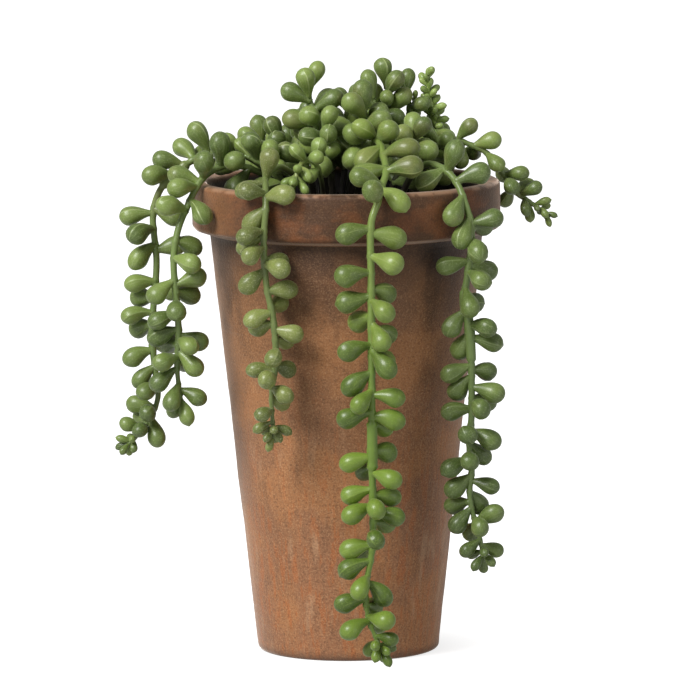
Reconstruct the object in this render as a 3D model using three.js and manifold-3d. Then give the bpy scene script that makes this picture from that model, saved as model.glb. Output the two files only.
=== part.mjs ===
import * as THREE from 'three';
import { mergeVertices } from 'three/addons/utils/BufferGeometryUtils.js';
import Module from 'manifold-3d';

// A string of pearls in a tall clay pot. Leafy stems stand in the soil. The short ones make the
// crown, and the long ones lean over the rim and hang down outside.
// Millimetres, +Z up, -Y to the front. The origin is the centre of the pot's foot.

// Driving dimensions of the pot.
const POT_HEIGHT = 216;
const RIM_RADIUS = 70.3;
const RIM_BAND = 22;
const RIM_OVERHANG = 8;
const FOOT_RADIUS = 41.6;
const WALL = 6.6;
const FLOOR = 9;
const EDGE_ROUND = 2.4;
const POT_SIDES = 34;

// Driving dimensions of the soil, the stems and the leaves.
const SOIL_EDGE_HEIGHT = 203;
const SOIL_DOME = 3;
const SOIL_GAP = 0.3;
const HOLE_ROOM = 0.8;
const STEM_SIDES = 4;
const STEM_STEP = 6.5;
const ROOT_DEPTH = 8;
const HOLE_SIDES = 5;
const LEAF_SIDES = 4;
const BUD_SIDES = 3;
const BUD_LENGTH = 13;
const LEAF_GIRTH = 0.285;
const ROOT_SINK = 0.4;
const LEAF_JITTER = 0.06;
const LEAF_TAPER = 0.16;
const TURN_JITTER = 12;
const LEAN_JITTER = 7;
const TIP_LENGTH = 15;
const TIP_LEAN = 28;
const ROSETTE_LENGTH = 6;
const ROSETTE_LEAN = 5;
const GOLDEN_ANGLE = 137.5;

// A leaf is a club with a pointed root and a blunt tip. Its two rings of corners each have how
// far along it they are, and how wide as a share of its greatest radius. LEAF_BALLS, written in
// the same way, stand for it when it looks for room.
const LEAF_RINGS = [[0.54, 1.06], [0.84, 0.98]];
const LEAF_BALLS = [[0.4, 0.66], [0.62, 1.02], [0.8, 0.88]];

// Where a leaf may go if its own place is taken, turned round the stem and leaned in degrees,
// and the share of its size that it may shrink to.
const SIZES = [1, 0.8];
const TURNS = [0, 20, -20, 40, -40, 60, -60];
const LEANS = [0, 14, -14, 28, -28, 42];
const LEAN_STEP = 25;
const STRAIGHT_ON = 80;
const BALL_STEP = 2;
const ROOT_REACH = 7;
const ROOM_TO_OTHERS = 0.5;
const ROOM_ON_OWN_STEM = -0.6;

const LEAF_GREEN = 0x6f9447;
const PALE_GREEN = 0x93b65c;
const GREY_GREEN = 0x87a169;

// The stems. Each has its route, and the side that each of its leaves grows from, read from the
// first leaf to the tip in eighths of a turn. 0 grows towards facing, and the others follow
// clockwise seen along the stem towards its tip. A + or - after it leans the leaf more to the
// tip or to the root, ^ grows straight on, and a dot stays bare.
// bare is the length without leaves at the root, leaf the length of a full leaf, lean its angle
// towards the tip, tip the share of its length that is left at the tip, and rosette the number of
// young leaves that close the tip.
const OVER_THE_FRONT = [0, -1, 1];
const OVER_THE_BACK = [0, 1, 1];
const UPRIGHT = [0, -1, 0];

const STEMS = [
  {
    name: 'strand_front',
    route: [[12, -13, 196], [12, -13, 206], [12, -15, 226], [13, -22, 236], [15, -31, 236],
      [17, -42, 231], [18, -56, 225], [16, -67, 219.5], [14, -75, 213], [11, -78, 203], [11, -77, 180],
      [11, -77, 152], [11, -77, 125], [11, -77, 95], [11, -76, 60], [8, -76, 40], [9, -76, 26],
      [13, -76, 15], [15, -76, 10]],
    order: '...1+.7+..2+..6....26-....26+..0....25...7..2..527..37+5..27+5..2+..2+6..265....52.37..'
      + '25026.5.0.23.2+..0+6+..25.725.73.',
    facing: OVER_THE_FRONT, radius: 1.6, bare: 36, leaf: 16.2, lean: 17, tip: 0.5, rosette: 7,
  },
  {
    name: 'strand_front_left',
    route: [[-17, -21, 196], [-17, -21, 206], [-22, -27, 219], [-30, -40, 226], [-36, -52, 222],
      [-36, -61, 218.5], [-36, -67, 210], [-37, -68, 195], [-36, -68, 176], [-33, -67, 160],
      [-32, -66, 142], [-34, -66, 125], [-33, -66, 106]],
    order: '.........0-.2..26.3+...12.2.572+...6..52.26.5.0..521.7.5.1.26.',
    facing: OVER_THE_FRONT, radius: 1.4, bare: 34, leaf: 14.8, lean: 12, tip: 0.45, rosette: 8,
    colour: GREY_GREEN,
  },
  {
    name: 'strand_right',
    route: [[24, -19, 196], [24, -19, 206], [29, -24, 219], [36, -33, 226], [43, -42, 225.5],
      [49, -49, 220.5], [53, -53.5, 212], [56, -55, 201], [56, -53, 190], [54, -52, 175], [53, -52, 167],
      [55, -52, 156], [56, -52, 138], [56, -52, 115], [55, -52, 101], [56, -52, 90], [55, -51, 78],
      [57, -51, 67], [60, -51, 56], [61, -51, 47]],
    order: '.....1-7-..6..2+...36-5.1...257..6+..52+..73+6....253+.6.572..06.6+.02..2+6.6+.32+.06-4.26..',
    facing: OVER_THE_FRONT, radius: 1.5, bare: 38, leaf: 15.6, lean: 17, tip: 0.5, rosette: 7,
  },
  {
    name: 'strand_left_inner',
    route: [[-26, -12, 196], [-26, -12, 206], [-33, -14, 217], [-46, -18, 224], [-56, -22, 224.5],
      [-65, -27, 219.5], [-71, -33, 209], [-76, -37, 197], [-78, -38, 183], [-77, -38, 166],
      [-76, -38, 149], [-77, -38, 135], [-75, -38, 117]],
    order: '..5.327.0-...0-21+..6+.1.....5..7...2+6-5.0.1..26736+152+..1+62+^',
    facing: OVER_THE_FRONT, radius: 1.5, bare: 30, leaf: 16, lean: 16, tip: 0.8,
  },
  {
    name: 'strand_left_outer',
    route: [[-30, 0, 196], [-30, 0, 206], [-36, -1, 220], [-47, -3, 228], [-58, -5, 229.5], [-68, -7, 227],
      [-78, -9, 220], [-85, -10, 212], [-88, -10, 200], [-86.5, -10, 180], [-88, -10, 160], [-89, -10, 146],
      [-87.5, -10, 130], [-86.5, -10, 117], [-92, -10, 105], [-101, -10, 95]],
    order: '..5..31..2.1+..1+......62..1..2+6-.....27.2..2.3...52..2+...2...206+271...',
    facing: OVER_THE_FRONT, radius: 1.5, bare: 40, leaf: 15.2, lean: 14, tip: 0.42, rosette: 8,
  },
  {
    name: 'strand_far_right',
    route: [[26, 6, 196], [26, 6, 206], [30, 8, 222], [36, 11, 235], [43, 12, 236], [50, 13, 233],
      [58, 13, 230], [65, 13, 226], [72, 13, 217], [77, 13.5, 209], [84, 14, 204], [92, 14, 198]],
    order: '......1...73.7+3-.2+...371.3672371.',
    facing: OVER_THE_FRONT, radius: 1.2, bare: 32, leaf: 13, lean: 24, tip: 0.42, rosette: 7,
  },
  {
    name: 'shoot_top_left',
    route: [[-8, -1, 196], [-8, -1, 206], [-11, -4, 222], [-13, -6, 238], [-14, -5, 247], [-16, -4, 252],
      [-18, -4, 256.5]],
    order: '..5.3.06-.2-.6^',
    facing: UPRIGHT, radius: 1.4, bare: 32, leaf: 15.6, lean: 26, tip: 1,
  },
  {
    name: 'shoot_top_left_back',
    route: [[-5, 8, 196], [-5, 8, 206], [-9, 8, 222], [-13, 6, 238], [-16, 5, 248], [-17, 5, 254],
      [-15, 5, 259.5]],
    order: '.2.6..1-2..^',
    facing: UPRIGHT, radius: 1.4, bare: 34, leaf: 15.8, lean: 30, tip: 1,
  },
  {
    name: 'shoot_top_middle',
    route: [[4, 3, 196], [4, 3, 206], [9, 3, 222], [12, 4, 242], [13, 5, 250], [12, 6, 255]],
    order: '.3.5.02-6-.4-^',
    facing: UPRIGHT, radius: 1.4, bare: 34, leaf: 16, lean: 32, tip: 0.95,
  },
  {
    name: 'shoot_top_right',
    route: [[13, 8, 196], [13, 8, 206], [18, 10, 222], [20, 12, 240], [20, 12, 250], [18.5, 12, 260]],
    order: '.30-5.2-1.0-^',
    facing: UPRIGHT, radius: 1.4, bare: 34, leaf: 15.8, lean: 30, tip: 0.95,
  },
  {
    name: 'shoot_far_right',
    route: [[19, 15, 196], [19, 15, 206], [26, 16, 222], [29, 17, 238], [29, 16, 250], [26.5, 15, 259]],
    order: '...3.6.2..3^',
    facing: UPRIGHT, radius: 1.3, bare: 34, leaf: 14, lean: 34, tip: 0.9,
  },
  {
    name: 'shoot_buds',
    route: [[25, 22, 196], [25, 22, 206], [34, 22, 221], [40, 20, 234], [40, 17, 245], [38, 16, 254],
      [38, 16, 262]],
    order: '..361.2-60.25172+6+0^',
    facing: UPRIGHT, radius: 0.9, bare: 38, leaf: 6.6, lean: 34, tip: 0.9, colour: PALE_GREEN,
  },
  {
    name: 'shoot_buds_left',
    route: [[19, 26, 196], [19, 26, 206], [26, 25, 221], [31, 22, 236], [33, 18, 246], [31, 16, 252]],
    order: '..261.60.25.2',
    facing: UPRIGHT, radius: 0.9, bare: 34, leaf: 6.4, lean: 34, tip: 0.9, colour: PALE_GREEN,
  },
  {
    name: 'shoot_middle',
    route: [[2, -5, 196], [2, -5, 206], [4, -8, 221], [6, -11, 233], [8, -12, 243], [8, -11, 249.5]],
    order: '.15.3.0.6-2.7^',
    facing: UPRIGHT, radius: 1.4, bare: 26, leaf: 17.2, lean: 22, tip: 1,
  },
  {
    name: 'shoot_middle_left',
    route: [[-6, -10, 196], [-6, -10, 206], [-7, -14, 222], [-9, -17, 234], [-10, -17, 243]],
    order: '..7..5.07-1',
    facing: UPRIGHT, radius: 1.4, bare: 20, leaf: 16, lean: 24, tip: 1,
  },
  {
    name: 'shoot_left',
    route: [[-14, -9, 196], [-14, -9, 206], [-16, -16, 217], [-18, -21, 225], [-19.5, -22, 232.5]],
    order: '.5..3.6.^',
    facing: UPRIGHT, radius: 1.4, bare: 20, leaf: 16.2, lean: 26, tip: 1,
  },
  {
    name: 'shoot_left_back',
    route: [[-18, 6, 196], [-18, 6, 206], [-23, 4, 219], [-27, 2, 229], [-33, 1, 232], [-40, 1, 229]],
    order: '.5.3.01.42-',
    facing: UPRIGHT, radius: 1.4, bare: 24, leaf: 15.4, lean: 28, tip: 1,
  },
  {
    name: 'shoot_far_left',
    route: [[-22, -16, 196], [-22, -16, 206], [-29, -22, 218], [-38, -26, 226], [-46, -26, 230]],
    order: '.5.3.1.0-^',
    facing: UPRIGHT, radius: 1.4, bare: 20, leaf: 15.4, lean: 28, tip: 1,
  },
  {
    name: 'shoot_pale',
    route: [[-10, -27, 196], [-10, -27, 206], [-11, -35, 219], [-14, -42, 228], [-19, -46, 229],
      [-22, -50, 224], [-22, -52, 219]],
    order: '.6.1.7-1.6.2.',
    facing: OVER_THE_FRONT, radius: 1.1, bare: 30, leaf: 11, lean: 20, tip: 0.75, rosette: 9,
    colour: PALE_GREEN,
  },
  {
    name: 'shoot_right',
    route: [[18, -8, 196], [18, -8, 206], [24, -12, 220], [29, -16, 230], [31, -16, 238]],
    order: '12-.5.0427.0',
    facing: UPRIGHT, radius: 1.4, bare: 20, leaf: 16.4, lean: 28, tip: 1,
  },
  {
    name: 'shoot_right_back',
    route: [[31, 2, 196], [31, 2, 206], [36, 0, 220], [41, -3, 230], [43, -5, 236]],
    order: '23-.6.3.07-',
    facing: UPRIGHT, radius: 1.4, bare: 20, leaf: 14.6, lean: 28, tip: 0.9,
  },
  {
    name: 'back_shoot_far_left',
    route: [[-26, 14, 196], [-26, 14, 206], [-31, 20, 220], [-38, 26, 229], [-44, 30, 233]],
    order: '03614725',
    facing: UPRIGHT, radius: 1.4, bare: 20, leaf: 15.6, lean: 30, tip: 0.8,
  },
  {
    name: 'back_shoot_left',
    route: [[-12, 22, 196], [-12, 22, 206], [-14, 28, 222], [-16, 34, 233], [-17, 37, 240]],
    order: '36147250',
    facing: UPRIGHT, radius: 1.4, bare: 20, leaf: 15.6, lean: 30, tip: 0.8,
  },
  {
    name: 'back_shoot_middle',
    route: [[-2, 16, 196], [-2, 16, 206], [0, 19, 224], [1, 21, 240], [2, 22, 248]],
    order: '614725036',
    facing: UPRIGHT, radius: 1.4, bare: 22, leaf: 15.8, lean: 30, tip: 0.9,
  },
  {
    name: 'back_shoot_right',
    route: [[9, 27, 196], [9, 27, 206], [12, 32, 222], [14, 37, 232], [16, 40, 238]],
    order: '14725036',
    facing: UPRIGHT, radius: 1.4, bare: 20, leaf: 15.6, lean: 30, tip: 0.8,
  },
  {
    name: 'back_shoot_far_right',
    route: [[30, 28, 196], [30, 28, 206], [36, 32, 220], [43, 35, 227], [48, 36, 229]],
    order: '47250361',
    facing: UPRIGHT, radius: 1.4, bare: 20, leaf: 14.6, lean: 30, tip: 0.7,
  },
  {
    name: 'back_strand_left',
    route: [[-16, 32, 196], [-16, 32, 206], [-20, 41, 218], [-23, 54, 223], [-23, 65, 219], [-22, 73, 210],
      [-21, 76, 195], [-20, 75, 160], [-21, 74, 120], [-20, 74, 88]],
    order: '.7053.614725036147250361472',
    facing: OVER_THE_BACK, radius: 1.5, bare: 26, leaf: 15.4, lean: 17, tip: 0.5, rosette: 6,
  },
  {
    name: 'back_strand_right',
    route: [[22, 31, 196], [22, 31, 206], [24, 40, 218], [26, 52, 223], [27, 63, 219], [27, 71, 210],
      [26, 74, 195], [27, 73, 160], [26, 72, 134]],
    order: '.0361.725036147250361',
    facing: OVER_THE_BACK, radius: 1.5, bare: 26, leaf: 15.2, lean: 17, tip: 0.5, rosette: 6,
  },
  {
    name: 'back_strand_middle',
    route: [[0, 33, 196], [0, 33, 206], [2, 42, 218], [3, 54, 223], [3, 65, 222], [3, 73.5, 216],
      [3, 77, 205], [2, 77, 188], [2, 76, 172]],
    order: '.25.03614725',
    facing: OVER_THE_BACK, radius: 1.4, bare: 26, leaf: 14.4, lean: 17, tip: 0.5, rosette: 6,
  },
];

const wasm = await Module();
wasm.setup();

// Joins a geometry's shared points and drops the triangles that this leaves without area.
function weld(geometry) {
  const bare = geometry.clone();
  bare.deleteAttribute('normal');
  bare.deleteAttribute('uv');
  const joined = mergeVertices(bare, 1e-4);
  const corners = joined.index.array;
  const kept = [];
  for (let i = 0; i < corners.length; i += 3) {
    const [a, b, c] = corners.slice(i, i + 3);
    if (a !== b && b !== c && c !== a) kept.push(a, b, c);
  }
  joined.setIndex(kept);
  return joined;
}

function solid(geometry) {
  const closed = weld(geometry);
  return new wasm.Manifold(new wasm.Mesh({
    numProp: 3,
    vertProperties: closed.attributes.position.array,
    triVerts: new Uint32Array(closed.index.array),
  }));
}

function geometryOf(body) {
  const mesh = body.getMesh();
  const geometry = new THREE.BufferGeometry();
  geometry.setAttribute('position', new THREE.BufferAttribute(mesh.vertProperties, 3));
  geometry.setIndex(new THREE.BufferAttribute(mesh.triVerts, 1));
  return geometry;
}

function piece(name, geometry, colour, roughness) {
  const material = new THREE.MeshStandardMaterial({ color: colour, roughness, metalness: 0 });
  const mesh = new THREE.Mesh(geometry, material);
  mesh.name = name;
  return mesh;
}

// A body turned about +Z from an outline of [radius, height] points.
function turned(outline, sides) {
  const profile = outline.map(([radius, height]) => new THREE.Vector2(radius, height));
  return new THREE.LatheGeometry(profile, sides).rotateX(Math.PI / 2);
}

// The points of a rounded corner, from one angle to another in degrees.
function corner(radius, height, round, from, to) {
  return [0, 1, 2].map((step) => {
    const angle = THREE.MathUtils.degToRad(from + (to - from) * step / 2);
    return [radius + round * Math.cos(angle), height + round * Math.sin(angle)];
  });
}

// The pot: a cone that widens to a straight, thick rim band, with every edge rounded.
const SHOULDER_RADIUS = RIM_RADIUS - RIM_OVERHANG;
const BAND_BOTTOM = POT_HEIGHT - RIM_BAND;
const INNER_RIM_RADIUS = RIM_RADIUS - WALL - 0.6;
const INNER_FOOT_RADIUS = FOOT_RADIUS - WALL;
const POT_OUTSIDE = [
  ...corner(FOOT_RADIUS - EDGE_ROUND, EDGE_ROUND, EDGE_ROUND, -90, 0),
  [SHOULDER_RADIUS, BAND_BOTTOM - 2],
  ...corner(RIM_RADIUS - EDGE_ROUND, BAND_BOTTOM + EDGE_ROUND, EDGE_ROUND, -60, 0),
  ...corner(RIM_RADIUS - EDGE_ROUND, POT_HEIGHT - EDGE_ROUND, EDGE_ROUND, 0, 90),
  ...corner(INNER_RIM_RADIUS + EDGE_ROUND, POT_HEIGHT - EDGE_ROUND, EDGE_ROUND, 90, 180),
];
const pot = turned([[0, 0], ...POT_OUTSIDE, [INNER_FOOT_RADIUS, FLOOR], [0, FLOOR]], POT_SIDES);

function innerRadius(height) {
  const share = (height - FLOOR) / (POT_HEIGHT - EDGE_ROUND - FLOOR);
  return INNER_FOOT_RADIUS + (INNER_RIM_RADIUS - INNER_FOOT_RADIUS) * share;
}

// The soil: a plug that fills the pot and crowns a little, with a plain hole for each stem.
const SOIL_OUTSIDE = [
  [innerRadius(SOIL_EDGE_HEIGHT) - SOIL_GAP, SOIL_EDGE_HEIGHT],
  [innerRadius(SOIL_EDGE_HEIGHT) * 0.6, SOIL_EDGE_HEIGHT + SOIL_DOME * 0.7],
  [0, SOIL_EDGE_HEIGHT + SOIL_DOME],
];
const soilFloor = FLOOR + SOIL_GAP;
const soilPlug = turned([[0, soilFloor], [innerRadius(soilFloor) - SOIL_GAP, soilFloor], ...SOIL_OUTSIDE],
  POT_SIDES);

function stemHole({ route, radius }) {
  const [x, y, z] = route[0];
  const width = (radius + HOLE_ROOM) / Math.cos(Math.PI / HOLE_SIDES);
  const depth = 2 * ROOT_DEPTH + HOLE_ROOM;
  const hole = new THREE.CylinderGeometry(width, width, depth, HOLE_SIDES).rotateX(Math.PI / 2);
  return solid(hole.translate(x, y, z - SOIL_GAP + depth / 2));
}

const soil = STEMS.reduce((body, stem) => body.subtract(stemHole(stem)), solid(soilPlug));

// A seeded stream of numbers between 0 and 1.
function stream(seed) {
  let state = 7919 * (seed + 1);
  return () => {
    state = (state * 16807) % 2147483647;
    return state / 2147483647;
  };
}

function curveOf(stem) {
  const points = stem.route.map((point) => new THREE.Vector3(...point));
  return new THREE.CatmullRomCurve3(points, false, 'catmullrom');
}

// Balls along each stem, which the leaves of the others keep clear of.
function stemBalls(stem, owner) {
  const curve = curveOf(stem);
  const length = curve.getLength();
  const count = Math.ceil(length / BALL_STEP);
  return Array.from({ length: count + 1 }, (_, i) => {
    const share = i / count;
    return { owner, centre: curve.getPointAt(share), radius: stem.radius, along: share * length };
  });
}

// The distance from a point to the outline of the pot and its soil.
const WALL_LINE = [...POT_OUTSIDE, ...SOIL_OUTSIDE].map(([radius, height]) => (
  new THREE.Vector3(radius, height, 0)
));

function distanceToPot(point) {
  const flat = new THREE.Vector3(Math.hypot(point.x, point.y), point.z, 0);
  const foot = new THREE.Vector3();
  const line = new THREE.Line3();
  const distances = WALL_LINE.slice(1).map((end, i) => {
    line.set(WALL_LINE[i], end).closestPointToPoint(flat, true, foot);
    return foot.distanceTo(flat);
  });
  return Math.min(...distances);
}

// Whether a leaf has room beside the pot, the stems and the leaves that are there already.
function hasRoom(leaf, balls) {
  return leaf.balls.every((ball) => {
    if (distanceToPot(ball.centre) < ball.radius + ROOM_TO_OTHERS) return false;
    return balls.every((other) => {
      const ownStem = other.owner === leaf.owner;
      if (ownStem && (ball.slim || Math.abs(other.along - leaf.along) < ROOT_REACH)) return true;
      const room = ownStem ? ROOM_ON_OWN_STEM : ROOM_TO_OTHERS;
      return ball.centre.distanceTo(other.centre) > ball.radius + other.radius + room;
    });
  });
}

// A leaf at a length along its stem, turned round it and leaned towards its tip, in degrees.
function leafAt(stem, owner, curve, along, turn, lean, length) {
  const share = along / curve.getLength();
  const root = curve.getPointAt(share);
  const tangent = curve.getTangentAt(share);
  const front = new THREE.Vector3(...stem.facing).normalize().projectOnPlane(tangent).normalize();
  const side = new THREE.Vector3().crossVectors(tangent, front);
  const turnAngle = THREE.MathUtils.degToRad(turn);
  const leanAngle = THREE.MathUtils.degToRad(lean);
  const direction = front.multiplyScalar(Math.cos(turnAngle)).addScaledVector(side, Math.sin(turnAngle));
  direction.multiplyScalar(Math.cos(leanAngle)).addScaledVector(tangent, Math.sin(leanAngle));
  root.addScaledVector(direction, -stem.radius * ROOT_SINK);
  const radius = length * LEAF_GIRTH;
  const balls = LEAF_BALLS.map(([at, width]) => ({
    owner,
    centre: root.clone().addScaledVector(direction, length * at),
    radius: radius * width,
    slim: at < 0.5,
  }));
  return { owner, along, root, direction, length, radius, balls };
}

// The leaves that a stem asks for: those of its order, smaller over its last stretch, and then the
// young ones that close its tip, each turned by the golden angle from the one before.
function askedLeaves(stem, length) {
  const leafy = length - stem.bare - stem.radius;
  const marks = stem.order.match(/[0-7.^][+-]?/g);
  const grown = marks.map(([eighth, more], i) => {
    const share = (i + 0.5) / marks.length;
    const along = stem.bare + leafy * share;
    const towardsTip = Math.max(0, 1 - (length - along) / TIP_LENGTH);
    const lean = stem.lean + towardsTip * TIP_LEAN + LEAN_STEP * ((more === '+') - (more === '-'));
    return {
      eighth,
      along,
      size: stem.leaf * (1 - LEAF_TAPER * share) * (1 - (1 - stem.tip) * towardsTip),
      turn: eighth === '^' ? 0 : Number(eighth) * 45,
      lean: eighth === '^' ? STRAIGHT_ON : lean,
    };
  });
  const young = Array.from({ length: stem.rosette ?? 0 }, (_, i) => {
    const share = (i + 0.5) / stem.rosette;
    return {
      along: length - ROSETTE_LENGTH * (1 - share),
      size: stem.leaf * stem.tip,
      turn: i * GOLDEN_ANGLE,
      lean: ROSETTE_LEAN + (STRAIGHT_ON - ROSETTE_LEAN) * share,
    };
  });
  return [...grown.filter(({ eighth }) => eighth !== '.'), ...young];
}

// The leaves of one stem, each in the first place near its own that has room.
function leavesOf(stem, owner, balls) {
  const curve = curveOf(stem);
  const draw = stream(owner);
  const swing = (most) => (draw() * 2 - 1) * most;
  const leaves = [];
  askedLeaves(stem, curve.getLength()).forEach((asked) => {
    const size = asked.size * (1 + swing(LEAF_JITTER));
    const turn = asked.turn + swing(TURN_JITTER);
    const lean = asked.lean + swing(LEAN_JITTER);
    const places = SIZES.flatMap((share) => LEANS.flatMap((leaned) => TURNS.map((turned) => (
      leafAt(stem, owner, curve, asked.along, turn + turned, lean + leaned, size * share + stem.radius)
    ))));
    const others = [...balls, ...leaves.flatMap((grown) => grown.balls)];
    const leaf = places.find((place) => hasRoom(place, others));
    if (leaf) leaves.push(leaf);
  });
  return leaves;
}

// A leaf's second ring is turned half a side from the first, which makes few corners look round.
function leafSolid(leaf) {
  const sides = leaf.length < BUD_LENGTH ? BUD_SIDES : LEAF_SIDES;
  const points = [new THREE.Vector3()];
  LEAF_RINGS.forEach(([along, width], ring) => {
    for (let i = 0; i < sides; i += 1) {
      const angle = 2 * Math.PI * (i + ring / 2) / sides;
      const outward = new THREE.Vector3(Math.cos(angle), Math.sin(angle), 0);
      points.push(outward.multiplyScalar(width * leaf.radius).setZ(along * leaf.length));
    }
  });
  points.push(new THREE.Vector3(0, 0, leaf.length));
  const faces = [];
  for (let i = 0; i < sides; i += 1) {
    const [lower, nextLower] = [1 + i, 1 + (i + 1) % sides];
    const [upper, nextUpper] = [lower + sides, nextLower + sides];
    faces.push(0, nextLower, lower, lower, nextLower, upper);
    faces.push(nextLower, nextUpper, upper, upper, nextUpper, points.length - 1);
  }
  const geometry = new THREE.BufferGeometry().setFromPoints(points);
  geometry.setIndex(faces);
  const upward = new THREE.Vector3(0, 0, 1);
  geometry.applyQuaternion(new THREE.Quaternion().setFromUnitVectors(upward, leaf.direction));
  geometry.translate(leaf.root.x, leaf.root.y, leaf.root.z);
  return solid(geometry);
}

function stemSolid(stem) {
  const curve = curveOf(stem);
  const section = Array.from({ length: STEM_SIDES }, (_, i) => {
    const angle = 2 * Math.PI * i / STEM_SIDES;
    return new THREE.Vector2(stem.radius * Math.cos(angle), stem.radius * Math.sin(angle));
  });
  return solid(new THREE.ExtrudeGeometry(new THREE.Shape(section), {
    steps: Math.round(curve.getLength() / (STEM_STEP * stem.radius)),
    bevelEnabled: false,
    extrudePath: curve,
  }));
}

const plant = new THREE.Group();
plant.add(piece('pot', pot, 0x9a6a4a, 0.85));
plant.add(piece('soil', geometryOf(soil), 0x1e2122, 0.95));

const balls = STEMS.flatMap(stemBalls);
STEMS.forEach((stem, owner) => {
  const leaves = leavesOf(stem, owner, balls);
  balls.push(...leaves.flatMap((leaf) => leaf.balls));
  const spray = leaves.reduce((body, leaf) => body.add(leafSolid(leaf)), stemSolid(stem));
  plant.add(piece(stem.name, geometryOf(spray), stem.colour ?? LEAF_GREEN, 0.55));
});

export default plant;
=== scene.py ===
import itertools
import math

import bpy
import numpy as np
from mathutils import Matrix, Vector, noise


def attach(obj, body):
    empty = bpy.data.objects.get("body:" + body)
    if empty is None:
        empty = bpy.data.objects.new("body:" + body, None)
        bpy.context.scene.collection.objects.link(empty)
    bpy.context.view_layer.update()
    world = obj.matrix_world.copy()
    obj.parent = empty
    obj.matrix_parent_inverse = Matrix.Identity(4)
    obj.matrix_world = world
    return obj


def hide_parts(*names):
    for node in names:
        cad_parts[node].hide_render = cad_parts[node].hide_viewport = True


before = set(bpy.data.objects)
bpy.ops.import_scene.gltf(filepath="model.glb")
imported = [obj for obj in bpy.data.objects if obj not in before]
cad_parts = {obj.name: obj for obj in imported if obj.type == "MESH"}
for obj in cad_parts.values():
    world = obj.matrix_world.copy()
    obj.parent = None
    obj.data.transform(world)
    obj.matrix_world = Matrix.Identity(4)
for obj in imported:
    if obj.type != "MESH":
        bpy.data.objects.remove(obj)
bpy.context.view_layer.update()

# Camera: a little above the rim and far away, through a long lens. Places and sizes in this file
# are in millimetres, and MM takes them to Blender's metres.
MM = 0.001
EYE = Vector((0, -3200, 541)) * MM
AIM = Vector((1.4, 0, 137.6)) * MM
LENS = 362.3
ROLL = math.radians(-0.33)
SENSOR_WIDTH, FARTHEST_METRES = 36, 50

camera = bpy.data.objects.new("camera", bpy.data.cameras.new("camera"))
camera.data.sensor_width = SENSOR_WIDTH
camera.data.lens = LENS
camera.data.clip_end = FARTHEST_METRES
camera.matrix_world = (
    Matrix.Translation(EYE)
    @ (AIM - EYE).to_track_quat("-Z", "Y").to_matrix().to_4x4()
    @ Matrix.Rotation(ROLL, 4, "Z")
)
bpy.context.scene.collection.objects.link(camera)
bpy.context.scene.camera = camera

# Studio: a white floor that runs out of sight, a big soft light high on the left, a weak one on
# the right, and a pale surround that the camera sees as white. The floor glows to the camera,
# and less round the pot's foot, which paints a faint shadow there.
SURROUND = 0.28
KEY_FROM, KEY_SIZE, KEY_POWER = (-1900, -2000, 2500), 1700, 156
FILL_FROM, FILL_SIZE, FILL_POWER = (2400, -1800, 900), 1500, 10
FLOOR_SIZE, FLOOR_WHITE, FLOOR_BOUNCE = 14000, 0.4, 0.2
GLOW_IN_PAINTED_SHADOW, GLOW_AWAY, GLOW_FROM, GLOW_TO = 0.78, 1.0, 42, 75
LIT_MIDDLE = 150


def soft_light(name, place, size, power):
    """A square light that looks at the middle of the pot."""
    light = bpy.data.objects.new(name, bpy.data.lights.new(name, "AREA"))
    light.data.size = size * MM
    light.data.energy = power
    light.location = Vector(place) * MM
    towards = Vector((0, 0, LIT_MIDDLE)) * MM - light.location
    light.rotation_euler = towards.to_track_quat("-Z", "Y").to_euler()
    bpy.context.scene.collection.objects.link(light)


def new_mesh(name, points, faces):
    """A smooth mesh object from points in millimetres."""
    mesh = bpy.data.meshes.new(name)
    mesh.from_pydata((np.asarray(points) * MM).tolist(), [], faces)
    mesh.validate()
    mesh.polygons.foreach_set("use_smooth", [True] * len(mesh.polygons))
    made = bpy.data.objects.new(name, mesh)
    bpy.context.scene.collection.objects.link(made)
    return made


def add_node(tree, kind, inputs, **settings):
    """A shader node with its settings. An input is a number or the socket that feeds it."""
    node = tree.nodes.new(kind)
    for name, value in settings.items():
        setattr(node, name, value)
    for socket, value in inputs.items():
        if isinstance(value, bpy.types.NodeSocket):
            tree.links.new(value, node.inputs[socket])
        else:
            node.inputs[socket].default_value = value
    return node


def new_material(name):
    """A material with an empty node tree and its output."""
    material = bpy.data.materials.new(name)
    material.use_nodes = True
    material.node_tree.nodes.clear()
    return material, material.node_tree, material.node_tree.nodes.new("ShaderNodeOutputMaterial")


soft_light("key_light", KEY_FROM, KEY_SIZE, KEY_POWER)
soft_light("fill_light", FILL_FROM, FILL_SIZE, FILL_POWER)

world = bpy.data.worlds.new("surround")
world.use_nodes = True
bpy.context.scene.world = world
background = world.node_tree.nodes["Background"]
seen = world.node_tree.nodes.new("ShaderNodeLightPath").outputs["Is Camera Ray"]
strength = add_node(world.node_tree, "ShaderNodeMapRange", {
    "Value": seen, "To Min": SURROUND, "To Max": 1,
})
background.inputs["Color"].default_value = (1, 1, 1, 1)
world.node_tree.links.new(strength.outputs[0], background.inputs["Strength"])
bpy.context.scene.view_settings.view_transform = "Standard"

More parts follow.
